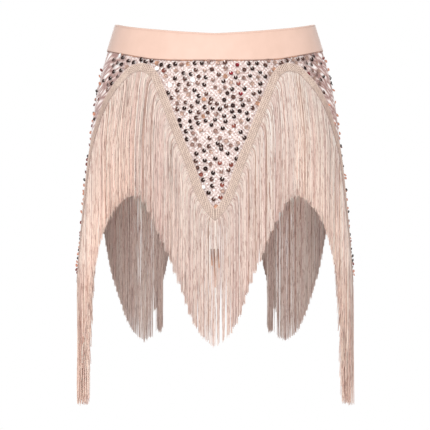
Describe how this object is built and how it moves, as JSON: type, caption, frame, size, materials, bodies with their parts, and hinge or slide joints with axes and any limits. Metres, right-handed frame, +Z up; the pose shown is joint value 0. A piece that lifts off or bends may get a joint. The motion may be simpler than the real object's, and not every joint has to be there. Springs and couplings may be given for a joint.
{
  "type": "belly dance hip skirt",
  "caption": "Sequinned belly dance hip skirt with a wide elastic waistband and a pointed hem of long hanging fringe, in its worn hollow form.",
  "frame": {"origin": "centre of the waistband ring at the middle of its height, where the wearer holds the skirt up", "axes": "+Z up, the front faces -Y, +X towards the wearer's left"},
  "size_m": [0.3858, 0.2629, 0.5292],
  "materials": {
    "waistband": "peach satin elastic",
    "cloth": "pale pink knit with cup sequins",
    "fringe": "dusty pink rayon fringe with a soft sheen"
  },
  "bodies": {
    "root": {"waistband": "waistband", "front_panel": "cloth", "back_panel": "cloth", "front_fringe": "fringe", "left_side_fringe": "fringe", "right_side_fringe": "fringe", "left_back_fringe": "fringe", "right_back_fringe": "fringe"}
  },
  "joints": []
}
